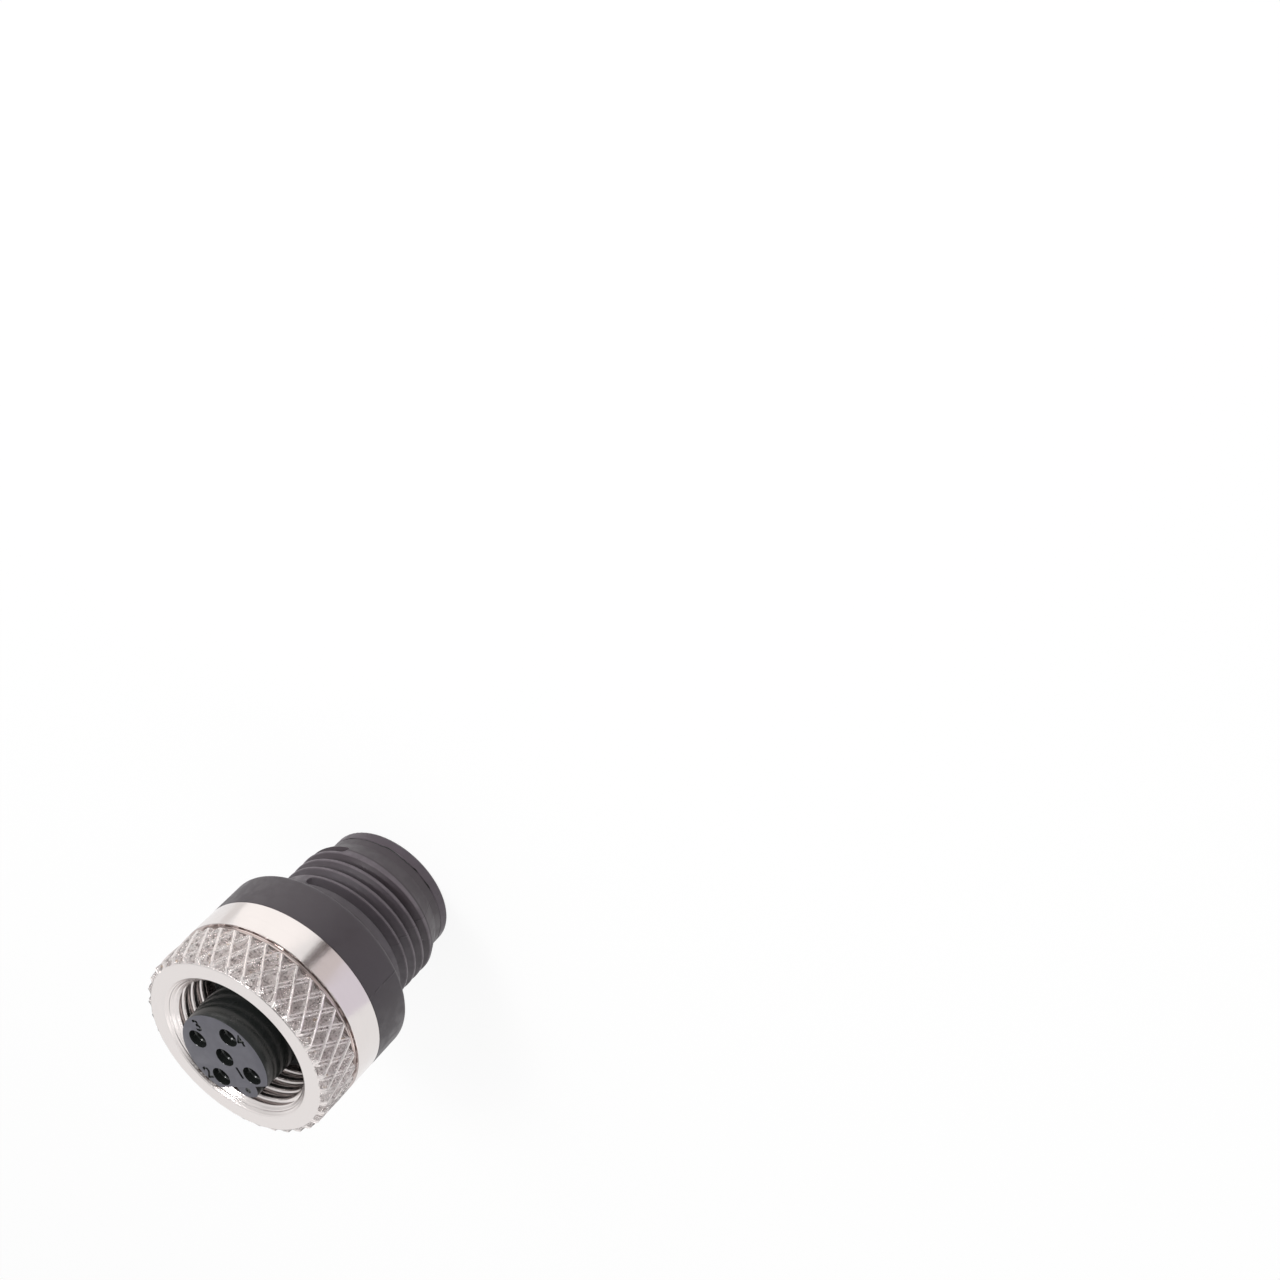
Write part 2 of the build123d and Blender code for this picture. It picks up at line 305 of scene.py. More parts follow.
def makeRidges(name, hand, peak, phase, shape, seed):
    # one leaning ridge that sinks into the front ring, copied round the bar and slightly crushed
    v = nutValues
    low = v["knurlBase"] - v["ridgeStart"]
    height = v["top"] - v["ridgeEnd"] - low
    rise = peak - v["knurlCore"]
    foot = shape[0][1] - v["rootNarrower"]
    right = [(v["knurlCore"] + share * rise, half, low) for share, half in shape]
    left = [(radius, -half, z) for radius, half, z in right]
    deep = v["knurlCore"] - v["ridgeRoot"]
    ridge = drawOutline(name, [(deep, -foot, low), *left, *reversed(right), (deep, foot, low)])
    screwUp(ridge, hand * v["lean"] * height, height, v["knurlSteps"])

    tip, proud = v["top"] - v["ridgeTip"], v["knurlCore"] + v["clearOfCore"]
    pickVertices(ridge, lambda z, radius: z > tip and radius > proud)
    sink = (v["ringOuter"] - v["ringInset"]) / peak
    bpy.ops.transform.resize(value=(sink, sink, 1), center_override=(0, 0, v["top"] * mm))
    bpy.ops.object.mode_set(mode="OBJECT")
    turnMesh(ridge, phase - hand * v["lean"] * (v["phaseHeight"] - low))
    copiesRound(ridge, v["starts"], 360 / v["starts"])
    pickVertices(ridge, lambda z, radius: radius > proud)
    bpy.ops.transform.vertex_random(offset=v["crushed"] * mm, uniform=v["crushEven"], seed=seed)
    bpy.ops.object.mode_set(mode="OBJECT")
    return ridge


def makeNut():
    v = nutValues
    nut = turnOnLathe("couplingNut", [
        (v["bore"], v["base"]),
        (v["outer"] - v["edge"], v["base"]),
        (v["outer"], v["base"] + v["edge"]),
        (v["outer"], v["bandTop"] - v["bandRound"]),
        (v["outer"] - v["edge"], v["bandTop"] - v["edge"]),
        (v["outer"] - v["bandRound"], v["bandTop"]),
        (v["grooveRadius"] + v["grooveFillet"], v["bandTop"] + v["grooveLip"]),
        (v["grooveRadius"], v["bandTop"] + v["grooveDrop"]),
        (v["grooveRadius"], v["knurlBase"] - v["grooveFillet"]),
        (v["knurlCore"], v["knurlBase"]),
        (v["knurlCore"], v["top"] - v["ringFoot"]),
        (v["ringOuter"] - v["ringInset"], v["top"] - v["ringDrop"]),
        (v["ringOuter"] - v["ringRound"], v["top"]),
        (v["mouth"] + v["mouthRound"], v["top"]),
        (v["mouth"], v["top"] - v["mouthRound"]),
        (v["stepRadius"], v["stepHeight"]),
        (v["stepRadius"] - v["stepWidth"], v["stepHeight"] - v["stepDrop"]),
        (v["threadInner"], v["threadTop"]),
        (v["threadInner"], v["threadBase"]),
        (v["relief"], v["threadBase"]),
        (v["relief"], v["collarTop"]),
        (v["bore"], v["collarTop"]),
        (v["bore"], v["base"]),
    ], v["sides"])

    # inside thread, right-handed
    low = v["threadBase"] - v["pitch"]
    upper = [(v["threadInner"] + depth, 0, low + half) for depth, half in v["grooveShape"]]
    lower = [(v["threadInner"] + depth, 0, low - half) for depth, half in v["grooveShape"]]
    groove = drawOutline("nutThreadCut", [*lower, *reversed(upper)])
    screwUp(groove, 360, v["pitch"], v["threadSteps"], v["turns"])
    combine(nut, groove, "DIFFERENCE")

    # knurl: high ridges of one hand, lower ones across them, trimmed to the bar
    ridges = makeRidges("ridge", 1, v["outer"], v["ridgePhase"], v["ridgeShape"], v["ridgeSeed"])
    across = makeRidges("crossRidge", -1, v["knurlCore"] + v["crossHeight"], v["crossPhase"],
                        v["crossShape"], v["crossSeed"])
    combine(ridges, across, "UNION")
    bar = turnOnLathe("knurlBar", [
        (v["barInner"], v["knurlBase"]),
        (v["outer"] - v["backBevel"], v["knurlBase"]),
        (v["outer"], v["knurlBase"] + v["backBevel"]),
        (v["outer"], v["top"] - v["edge"]),
        (v["barInner"], v["top"] - v["edge"]),
        (v["barInner"], v["knurlBase"]),
    ], v["sides"])
    combine(ridges, bar, "INTERSECT")
    combine(nut, ridges, "UNION")
    finishPiece(nut, "nut", ["coupling_nut"], v["sharpAngle"])
    return nut


couplingNut = makeNut()


# housing, in mm and degrees
housingValues = {
    "sides": 192,
    # heights, from the rim to the front of the grip
    "rimTop": 0.9, "leadBase": 1.6, "leadTop": 3.0, "gripBase": 9.1, "insertBase": 10.0,
    "gripTop": 12.45,
    # radii
    "shell": 4.57, "seat": 4.72, "collar": 5.25, "crest": 5.95, "grip": 7.95,
    # edges
    "edge": 0.03, "leadRound": 0.04, "jointChamfer": 0.06, "chamferInset": 0.01, "chamferShare": 0.7,
    "backRound": 0.35, "backSteps": 6, "neckRound": 0.3, "neckSteps": 5, "frontRound": 0.03,
    # outside thread
    "pitch": 1.0, "turns": 4, "threadSteps": 96, "grooveStart": 3.01, "grooveAngle": -60.0,
    "grooveHalf": 0.425, "grooveRoot": 5.34, "rootHalf": 0.07, "rootRound": 0.04, "crestRound": 0.05,
    "cutReach": 0.12, "cutFlare": 0.06, "endWindow": 0.6,
}


def makeHousing():
    v = housingValues
    edge, back, root, front = v["edge"], v["backRound"], v["neckRound"], v["frontRound"]
    profile = [
        (v["shell"], v["rimTop"]),
        (v["collar"] - v["jointChamfer"], v["rimTop"]),
        (v["collar"] - v["chamferInset"], v["rimTop"] + v["jointChamfer"] * v["chamferShare"]),
        (v["collar"], v["rimTop"] + v["jointChamfer"] + edge),
        (v["collar"], v["leadBase"] - edge),
        (v["collar"] + edge, v["leadBase"] + edge),
        (v["crest"] - edge, v["leadTop"] - v["leadRound"]),
        (v["crest"], v["leadTop"] + v["leadRound"]),
    ]
    profile += arcPoints((v["crest"] + root, v["gripBase"] - root), root, 180, 90, v["neckSteps"])
    profile += arcPoints((v["grip"] - back, v["gripBase"] + back), back, -90, 0, v["backSteps"])
    profile += [
        (v["grip"], v["gripTop"] - front),
        (v["grip"] - front, v["gripTop"]),
        (v["seat"], v["gripTop"]),
        (v["seat"], v["insertBase"]),
        (v["shell"], v["insertBase"]),
        (v["shell"], v["rimTop"]),
    ]
    housing = turnOnLathe("mouldedHousing", profile, v["sides"])

    # outside thread, right-handed, its groove rounded off at both ends
    reach = v["crest"] + v["cutReach"]
    flank = [
        (reach, v["grooveHalf"] + v["cutFlare"]),
        (v["crest"], v["grooveHalf"]),
        (v["crest"] - v["crestRound"], v["grooveHalf"] - v["crestRound"]),
        (v["grooveRoot"] + v["rootRound"], v["rootHalf"]),
    ]
    lower = [(radius, 0, -half) for radius, half in flank]
    upper = [(radius, 0, half) for radius, half in flank]
    groove = drawOutline("housingThreadCut", [*lower, (v["grooveRoot"], 0, 0), *reversed(upper)])
    window = v["endWindow"]
    ends = [(height - window, height + window, sideways, (reach, height), v["grooveHalf"])
            for height, sideways in ((0, -1), (v["pitch"] * v["turns"], 1))]
    screwUp(groove, 360, v["pitch"], v["threadSteps"], v["turns"], ends)
    turnMesh(groove, v["grooveAngle"])
    moveMesh(groove, 0, 0, v["grooveStart"])
    combine(housing, groove, "DIFFERENCE")
    finishPiece(housing, "body", ["housing"])
    return housing


mouldedHousing = makeHousing()


# socket stem, in mm and degrees
stemValues = {
    "sides": 192,
    # heights from the foot to the front face, and radii
    "base": 10.0, "flangeBase": 13.55, "flangeTop": 14.25, "noseBase": 18.5, "face": 20.0,
    "hub": 4.70, "flange": 5.30, "stem": 3.85, "nose": 3.76, "edge": 0.05, "edgeShare": 0.3,
    # key flat and rib
    "keyAngle": 135, "keyFlat": 2.647, "ribWidth": 2.05, "ribSetback": 0.2, "ribRoot": 0.15,
    "rootSteps": 4, "ribSteps": 20, "keyCutHalf": 5, "keyCutFar": 8, "cutReach": 0.5, "overlap": 0.001,
    # ejector mark
    "markSides": 32, "markPlace": 3.15, "markRadius": 0.25, "markDepth": 0.07, "markEdge": 0.05,
    "markReach": 0.1,
    # contact holes
    "holeSides": 48, "contactRing": 2.4, "barbRadius": 0.87, "barbTop": 11.0, "boreRadius": 0.77,
    "boreTop": 18.6, "entryRadius": 0.575, "recessBase": 19.0, "recessEdge": 0.1, "ledge": 0.09,
    "ledgeHeight": 19.40, "ledgeDraft": 0.02, "ledgeRound": 0.01, "holeEdge": 0.015, "holeReach": 0.2,
    # engraved numerals
    "numeralSize": 1.36, "numeralBold": 0.042, "numeralDepth": 0.09, "numeralReach": 0.2,
    "numeralSteps": 4, "numeralTurn": -135,
    "numerals": {"1": (-1.45, 0.62), "2": (1.10, 2.98), "3": (2.58, -1.42), "4": (-1.02, -2.92)},
}


def cutKey(stem):
    # a flat with a rounded rib, and the flat alone in front of the rib
    v = stemValues
    flat, half, root = v["keyFlat"], v["ribWidth"] / 2, v["ribRoot"]
    ribFront = v["face"] - v["ribSetback"]
    for low, high, withRib in (
        (v["flangeTop"], ribFront + v["overlap"], True),
        (ribFront, v["face"] + v["cutReach"], False),
    ):
        outline = [(flat, -v["keyCutHalf"]), (flat, -half - root)]
        if withRib:
            outline += arcPoints((flat + root, -half - root), root, 180, 90, v["rootSteps"])
            outline += arcPoints((v["stem"] - half, 0), half, -90, 90, v["ribSteps"])
            outline += arcPoints((flat + root, half + root), root, -90, -180, v["rootSteps"])
        outline += [(flat, half + root), (flat, v["keyCutHalf"]),
                    (v["keyCutFar"], v["keyCutHalf"]), (v["keyCutFar"], -v["keyCutHalf"])]
        cut = drawOutline("keyCut", [(x, y, low) for x, y in outline])
        editAll()
        bpy.ops.mesh.remove_doubles(threshold=mergeWithin)
        extrudeBy(0, 0, high - low)
        closeMesh()
        turnMesh(cut, v["keyAngle"])
        combine(stem, cut, "DIFFERENCE")

    # ejector mark on the rib's front
    mark = turnOnLathe("ribMark", [
        (v["markRadius"] - v["markEdge"], ribFront - v["markDepth"]),
        (v["markRadius"], ribFront - v["markDepth"] + v["markEdge"]),
        (v["markRadius"], ribFront + v["markReach"]),
    ], v["markSides"])
    keyAngle = radians(v["keyAngle"])
    moveMesh(mark, v["markPlace"] * cos(keyAngle), v["markPlace"] * sin(keyAngle), 0)
    combine(stem, mark, "DIFFERENCE")


def cutHoles(stem):
    # straight and deep, each with a narrow entry at the bottom of a recess that has a sloping ledge
    v = stemValues
    bore, ledge, ring = v["boreRadius"], v["ledge"], v["contactRing"]
    hole = turnOnLathe("contactHole", [
        (v["barbRadius"], v["base"] - v["cutReach"]),
        (v["barbRadius"], v["barbTop"]),
        (bore, v["barbTop"]),
        (bore, v["boreTop"]),
        (v["entryRadius"], v["boreTop"]),
        (v["entryRadius"], v["recessBase"] - v["recessEdge"]),
        (v["entryRadius"] + v["recessEdge"], v["recessBase"]),
        (bore - v["recessEdge"], v["recessBase"]),
        (bore - ledge - v["ledgeDraft"], v["recessBase"] + v["recessEdge"]),
        (bore - ledge, v["ledgeHeight"]),
        (bore - v["ledgeRound"], v["ledgeHeight"] + ledge - v["ledgeRound"]),
        (bore, v["face"] - v["holeEdge"]),
        (bore + v["holeEdge"], v["face"] + v["overlap"]),
        (bore + v["holeEdge"], v["face"] + v["holeReach"]),
    ], v["holeSides"])
    for x, y in ((-ring, 0), (0, ring), (ring, 0), (0, -ring), (0, 0)):
        copy = ownCopy(hole)
        moveMesh(copy, x, y, 0)
        combine(stem, copy, "DIFFERENCE")
    bpy.data.objects.remove(hole)


def cutNumerals(stem):
    v = stemValues
    for body, (x, y) in v["numerals"].items():
        bpy.ops.object.select_all(action="DESELECT")
        bpy.ops.object.text_add()
        text = bpy.context.object
        text.data.body = body
        text.data.size = v["numeralSize"] * mm
        text.data.offset = v["numeralBold"] * mm
        text.data.align_x = "CENTER"
        text.data.align_y = "CENTER"
        text.data.extrude = v["numeralReach"] * mm
        text.data.resolution_u = v["numeralSteps"]
        bpy.ops.object.convert(target="MESH")
        text = bpy.context.object
        bpy.ops.object.mode_set(mode="EDIT")
        closeMesh()
        text.rotation_euler = (0, 0, radians(v["numeralTurn"]))
        moveMesh(text, x, y, v["face"] - v["numeralDepth"] + v["numeralReach"])
        combine(stem, text, "DIFFERENCE")


def makeStem():
    v = stemValues
    corner = v["edge"] * v["edgeShare"]
    stem = turnOnLathe("socketStem", [
        (v["hub"], v["base"]),
        (v["hub"], v["flangeBase"]),
        (v["flange"], v["flangeBase"]),
        (v["flange"], v["flangeTop"]),
        (v["stem"], v["flangeTop"]),
        (v["stem"], v["noseBase"]),
        (v["nose"], v["face"] - v["edge"]),
        (v["nose"] - corner, v["face"] - corner),
        (v["nose"] - v["edge"], v["face"]),
    ], v["sides"])
    cutKey(stem)
    cutHoles(stem)
    cutNumerals(stem)
    finishPiece(stem, "body", ["socket_insert"])
    return stem


socketStem = makeStem()


# node helpers
def setInput(tree, node, key, value):
    # links a node or a socket to an input, or sets the input's value
    if isinstance(value, bpy.types.Node):
        value = value.outputs[0]
    if isinstance(value, bpy.types.NodeSocket):
        tree.links.new(value, node.inputs[key])
    else:
        node.inputs[key].default_value = value


def addNode(tree, kind, inputs=None, **values):
    node = tree.nodes.new(kind)
    for key, value in values.items():
        setattr(node, key, value)
    for key, value in (inputs or {}).items():
        setInput(tree, node, key, value)
    return node


def maths(tree, operation, *values, clamp=False):
    return addNode(tree, "ShaderNodeMath", dict(enumerate(values)), operation=operation, use_clamp=clamp)


def times(tree, product, *others):
    for other in others:
        product = maths(tree, "MULTIPLY", product, other)
    return product


def vectors(tree, operation, *values):
    return addNode(tree, "ShaderNodeVectorMath", dict(enumerate(values)), operation=operation)


def ramp(tree, value, low, high, toLow=0.0, toHigh=1.0):
    return addNode(tree, "ShaderNodeMapRange", {
        "Value": value, "From Min": low, "From Max": high, "To Min": toLow, "To Max": toHigh,
    }, interpolation_type="SMOOTHSTEP")


def mixColours(tree, share, first, second):
    node = addNode(tree, "ShaderNodeMix", data_type="RGBA")
    for index, value in ((0, share), (6, first), (7, second)):
        setInput(tree, node, index, value)
    return node.outputs[2]


def noise(tree, place, scale, detail=2.0, roughness=0.5):
    return addNode(tree, "ShaderNodeTexNoise", {
        "Vector": place, "Scale": scale, "Detail": detail, "Roughness": roughness,
    })


def patches(tree, place, scale, detail, roughness, low, high):
    # noise that fades in between two of its values
    return ramp(tree, noise(tree, place, scale, detail, roughness), low, high)


def lineNoise(tree, along, detail):
    return addNode(tree, "ShaderNodeTexNoise", {"W": along, "Scale": 1.0, "Detail": detail},
                   noise_dimensions="1D")


def placeInMillimetres(tree):
    spot = addNode(tree, "ShaderNodeTexCoord")
    scaled = addNode(tree, "ShaderNodeVectorMath", {0: spot.outputs["Object"], "Scale": 1 / mm},
                     operation="SCALE")
    return scaled.outputs[0]


def newGroup(name, inputs, outputs):
    group = bpy.data.node_groups.new(name, "ShaderNodeTree")
    for label, kind, value in inputs:
        socket = group.interface.new_socket(name=label, in_out="INPUT", socket_type=kind)
        if value is not None:
            socket.default_value = value
    for label in outputs:
        group.interface.new_socket(name=label, in_out="OUTPUT", socket_type="NodeSocketFloat")
    given, put = group.nodes.new("NodeGroupInput"), group.nodes.new("NodeGroupOutput")
    return group, given.outputs, put


def useGroup(tree, group, **inputs):
    return addNode(tree, "ShaderNodeGroup", inputs, node_tree=group)


# node groups that the materials share
groupValues = {
    "grainNoise": (3.0, 0.6), "patchScale": 0.12, "patchFade": (0.3, 0.7),
    "speckBend": (3.0, 1.0), "ringDetail": 3.0, "broadScale": 0.2, "broadDetail": 2.0,
}


def makeAboutAxis():
    # radius, height and angle about the connector's axis, in mm and degrees
    group, given, put = newGroup(
        "aboutAxis", [("Place", "NodeSocketVector", None)], ["Radius", "Height", "Angle"])
    split = addNode(group, "ShaderNodeSeparateXYZ", {0: given["Place"]}).outputs
    squares = [maths(group, "POWER", split[axis], 2.0) for axis in "XY"]
    turned = maths(group, "ARCTAN2", split["Y"], split["X"])
    setInput(group, put, "Radius", maths(group, "SQRT", maths(group, "ADD", *squares)))
    setInput(group, put, "Height", split["Z"])
    setInput(group, put, "Angle", maths(group, "DEGREES", turned))
    return group


def makeFineGrain():
    # even fine grain of a moulded or plated surface, with a slower patchiness
    v = groupValues
    group, given, put = newGroup(
        "fineGrain", [("Place", "NodeSocketVector", None), ("Size", "NodeSocketFloat", 0.1)],
        ["Height", "Patches"])
    perSize = maths(group, "DIVIDE", 1.0, given["Size"])
    slow = noise(group, given["Place"], times(group, perSize, v["patchScale"]))
    setInput(group, put, "Height", noise(group, given["Place"], perSize, *v["grainNoise"]))
    setInput(group, put, "Patches", ramp(group, slow, *v["patchFade"]))
    return group


def makeDustSpecks():
    # a few lint and dust specks
    group, given, put = newGroup(
        "dustSpecks",
        [("Place", "NodeSocketVector", None), ("Spacing", "NodeSocketFloat", 1.0),
         ("Size", "NodeSocketFloat", 0.08), ("Amount", "NodeSocketFloat", 0.3)],
        ["Mask"])
    bent = noise(group, given["Place"], *groupValues["speckBend"]).outputs["Color"]
    cells = addNode(group, "ShaderNodeTexVoronoi", {
        "Vector": vectors(group, "ADD", given["Place"], bent),
        "Scale": maths(group, "DIVIDE", 1.0, given["Spacing"])}).outputs
    near = maths(group, "LESS_THAN", times(group, cells["Distance"], given["Spacing"]), given["Size"])
    drawn = addNode(group, "ShaderNodeSeparateColor", {0: cells["Color"]})
    setInput(group, put, "Mask", times(group, near, maths(group, "LESS_THAN", drawn, given["Amount"])))
    return group


def makeTurnedRings():
    # rings left by turning, along the axis and across a face alike
    v = groupValues
    group, given, put = newGroup(
        "turnedRings",
        [("Radius", "NodeSocketFloat", 0.0), ("Height", "NodeSocketFloat", 0.0),
         ("Spacing", "NodeSocketFloat", 0.1)],
        ["Height", "Patches"])
    along = maths(group, "ADD", given["Radius"], given["Height"])
    along = maths(group, "DIVIDE", along, given["Spacing"])
    broad = lineNoise(group, times(group, along, v["broadScale"]), v["broadDetail"])
    setInput(group, put, "Height", lineNoise(group, along, v["ringDetail"]))
    setInput(group, put, "Patches", broad)
    return group


aboutAxis = makeAboutAxis()
fineGrain = makeFineGrain()
dustSpecks = makeDustSpecks()
turnedRings = makeTurnedRings()


# materials. Places are in mm and degrees about the axis. A pair of them is where a mask fades in,
# from the first to the second. Patches are scale, detail, roughness and where they fade in
def newMaterial(name, **values):
    material = bpy.data.materials.new(name)
    material.use_nodes = True
    shader = material.node_tree.nodes["Principled BSDF"]
    for key, value in values.items():
        shader.inputs[key.replace("_", " ")].default_value = value
    return material, material.node_tree, shader


def addBump(tree, height, depth, before=None):
    # depth in mm
    inputs = {"Height": height, "Distance": depth * mm, "Strength": 1.0}
    if before:
        inputs["Normal"] = before
    return addNode(tree, "ShaderNodeBump", inputs)


def connect(tree, shader, colour, roughness, normal):
    setInput(tree, shader, "Base Color", colour)
    setInput(tree, shader, "Roughness", roughness)
    setInput(tree, shader, "Normal", normal)


nickelValues = {
    "bright": (0.765, 0.72, 0.705, 1), "ridge": (0.92, 0.865, 0.85, 1), "pit": (0.92, 0.85, 0.835, 1),
    "paintedPitShade": (0.22, 0.175, 0.165, 1), "crest": (0.82, 0.765, 0.75, 1), "tinge": (0.62, 0.42, 0.22, 1),
    "groove": (0.50, 0.43, 0.41, 1), "inner": (0.80, 0.75, 0.735, 1), "grimeAndReflection": (0.09, 0.06, 0.05, 1),
    "turned": (0.66, 0.62, 0.62, 1), "paintedPitShadeShare": 0.8, "tingeShare": 0.5, "turnedShare": 0.12,
    # knurl, and how far its crests sink towards the front
    "knurlBack": (15.3, 15.4), "knurlFront": (18.98, 18.9), "knurlInner": (7.3, 7.4),
    "crestRadius": (7.8, 7.93), "sinkFrom": 18.65, "sinkSlope": 1.5,
    # crushed facets
    "stripTurn": 0.1388, "stripRise": -0.597, "facetCounts": (4.2, 2.0, 2.2), "facetTilt": 0.5,
    "chipNoise": (10.5, 3.0, 0.75), "chipShare": 0.65, "crushDepth": 0.22,
    "facetShade": 0.85, "fleckNoise": (1.3, 3.0, 0.7), "pitFade": (0.62, 1.18),
    "paintedPitShadePatches": (5.2, 4.0, 0.8, 0.51, 0.60), "tingePatches": (1.9, 1.0, 0.5, 0.68, 0.76),
    # mouth and inside thread, with the lathe's coarse marks near the front
    "mouthRadius": (6.24, 6.20), "mouthFront": (18.995, 18.97),
    "latheHeight": (18.2, 18.4), "latheSpacing": 0.2, "latheDepth": 0.035,
    # dark patches in the mouth, partly dirt and partly a painted reflection of the dark stem
    "grimeAndReflectionStart": (50, 66), "grimeAndReflectionEnd": (88, 80), "grimeAndReflectionFront": (18.97, 18.8),
    "grimeAndReflectionPatches": (4.5, 3.0, 0.7, 0.44, 0.54),
    # groove between band and knurl, painted darker as painted shade
    "grooveHeight": 15.12, "grooveWidth": (0.24, 0.10), "grooveOuter": (7.945, 7.90),
    "grooveInner": (6.5, 6.6),
    # fine surface
    "ringSpacing": 0.06, "ringShare": 0.35, "grainSize": 0.16, "fineDepth": 0.0035,
    "roughness": (0.12, 0.2), "pitRoughness": 0.12, "insideRoughness": 0.23,
}


def makeNickel():
    v = nickelValues
    material, tree, shader = newMaterial("nickelPlate", Metallic=1.0)
    place = placeInMillimetres(tree)
    about = useGroup(tree, aboutAxis, Place=place).outputs
    radius, height, angle = about["Radius"], about["Height"], about["Angle"]
    rings = useGroup(tree, turnedRings, Radius=radius, Height=height, Spacing=v["ringSpacing"]).outputs
    coarse = useGroup(tree, turnedRings, Radius=radius, Height=height, Spacing=v["latheSpacing"]).outputs
    grain = useGroup(tree, fineGrain, Place=place, Size=v["grainSize"]).outputs

    # where the knurl, its crests, the pits between them and the mouth are
    knurl = times(tree, ramp(tree, height, *v["knurlBack"]), ramp(tree, height, *v["knurlFront"]),
                  ramp(tree, radius, *v["knurlInner"]))
    sunk = times(tree, maths(tree, "SUBTRACT", height, v["sinkFrom"], clamp=True), v["sinkSlope"])
    crest = ramp(tree, maths(tree, "ADD", radius, sunk), *v["crestRadius"])
    pit = times(tree, knurl, maths(tree, "SUBTRACT", 1.0, crest))
    inside = times(tree, ramp(tree, radius, *v["mouthRadius"]), ramp(tree, height, *v["mouthFront"]))

    # crushed metal between the ridges: facets drawn out along the cross ridges, each tilted its own way
    lean = maths(tree, "ADD", times(tree, angle, v["stripTurn"]), times(tree, height, v["stripRise"]))
    strips = addNode(tree, "ShaderNodeCombineXYZ", {
        index: times(tree, value, v["facetCounts"][index])
        for index, value in enumerate((lean, height, radius))})
    facets = addNode(tree, "ShaderNodeTexVoronoi", {"Vector": strips, "Scale": 1.0}).outputs
    inFacet = vectors(tree, "SUBTRACT", strips, facets["Position"])
    tilt = vectors(tree, "SUBTRACT", facets["Color"], (0.5, 0.5, 0.5))
    slope = vectors(tree, "DOT_PRODUCT", inFacet, tilt).outputs["Value"]
    chips = noise(tree, place, *v["chipNoise"])
    crushed = maths(tree, "ADD", times(tree, slope, v["facetTilt"]), times(tree, chips, v["chipShare"]))
    lathe = times(tree, inside, ramp(tree, height, *v["latheHeight"]))
    fine = maths(tree, "ADD", times(tree, rings["Height"], v["ringShare"]), grain["Height"])
    bumps = addBump(tree, times(tree, crushed, pit), v["crushDepth"])
    bumps = addBump(tree, times(tree, coarse["Height"], lathe), v["latheDepth"], bumps)
    bumps = addBump(tree, fine, v["fineDepth"], bumps)

    # grey in the pits, facet by facet, with painted shade in dark patches and brown flecks, grime in the
    # mouth that is partly dirt and partly a painted dark reflection, and painted shade in the groove
    shade = addNode(tree, "ShaderNodeSeparateColor", {0: facets["Color"]}).outputs[1]
    dark = maths(tree, "ADD", times(tree, shade, v["facetShade"]), noise(tree, place, *v["fleckNoise"]))
    dark = times(tree, pit, ramp(tree, dark, *v["pitFade"]))
    # painted shade: dark patches in the pits stand in for the shadows between the ridges
    paintedPitShade = times(tree, pit, patches(tree, place, *v["paintedPitShadePatches"]), v["paintedPitShadeShare"])
    brown = times(tree, pit, patches(tree, place, *v["tingePatches"]), v["tingeShare"])
    # painted shade: the groove between band and knurl is painted darker
    fromGroove = maths(tree, "ABSOLUTE", maths(tree, "SUBTRACT", height, v["grooveHeight"]))
    groove = times(tree, ramp(tree, fromGroove, *v["grooveWidth"]), ramp(tree, radius, *v["grooveOuter"]),
                   ramp(tree, radius, *v["grooveInner"]))
    # partly dirt and partly a painted dark reflection of the stem, in the mouth only
    grimeAndReflection = times(tree, ramp(tree, angle, *v["grimeAndReflectionStart"]), ramp(tree, angle, *v["grimeAndReflectionEnd"]), inside,
                  ramp(tree, height, *v["grimeAndReflectionFront"]), patches(tree, place, *v["grimeAndReflectionPatches"]))
    colour = v["bright"]
    for share, name in (
        (knurl, "ridge"), (dark, "pit"), (paintedPitShade, "paintedPitShade"), (times(tree, knurl, crest), "crest"),
        (brown, "tinge"), (groove, "groove"), (inside, "inner"), (grimeAndReflection, "grimeAndReflection"),
        (times(tree, rings["Patches"], v["turnedShare"]), "turned"),
    ):
        colour = mixColours(tree, share, colour, v[name])

    rough = ramp(tree, grain["Patches"], 0, 1, *v["roughness"])
    rough = maths(tree, "ADD", rough, times(tree, pit, v["pitRoughness"]))
    rough = addNode(tree, "ShaderNodeMix", {0: inside, 2: rough, 3: v["insideRoughness"]},
                    data_type="FLOAT")
    connect(tree, shader, colour, rough, bumps)
    return material


housingPlasticValues = {
    "grip": (0.044, 0.035, 0.042, 1), "neckPaintedLight": (0.080, 0.067, 0.078, 1), "lead": (0.042, 0.030, 0.037, 1),
    "crest": (0.12, 0.10, 0.115, 1), "rimPaintedLight": (0.074, 0.056, 0.070, 1), "patch": (0.055, 0.045, 0.052, 1),
    "joint": (0.004, 0.003, 0.003, 1), "lint": (0.45, 0.44, 0.44, 1), "seam": (0.015, 0.012, 0.013, 1),
    "patchShare": 0.35, "lintShare": 0.8, "seamShare": 0.35,
    "grainSize": 0.11, "grainDepth": 0.006, "roughness": (0.40, 0.52),
    "neckHeight": (9.6, 8.6), "leadHeight": (6.5, 3.0), "rimHeight": (0.96, 0.92),
    "crestTop": (7.15, 7.05), "crestBase": (3.1, 3.2), "crestRadius": (5.86, 5.93),
    # joint between collar and rim
    "jointHeight": 1.10, "jointWidth": (0.075, 0.04), "jointNoise": (0.9, 2.0), "jointWander": 0.36,
    "jointPatches": (0.55, 1.0, 0.5, 0.40, 0.48),
    # parting line of the mould, and lint
    "seamAngles": (-142.6, 37.4), "seamWidth": (0.7, 0.2), "seamDepth": 0.02,
    "seamPatches": (1.4, 2.0, 0.5, 0.42, 0.56),
    "specks": {"Spacing": 1.7, "Size": 0.055, "Amount": 0.14},
}


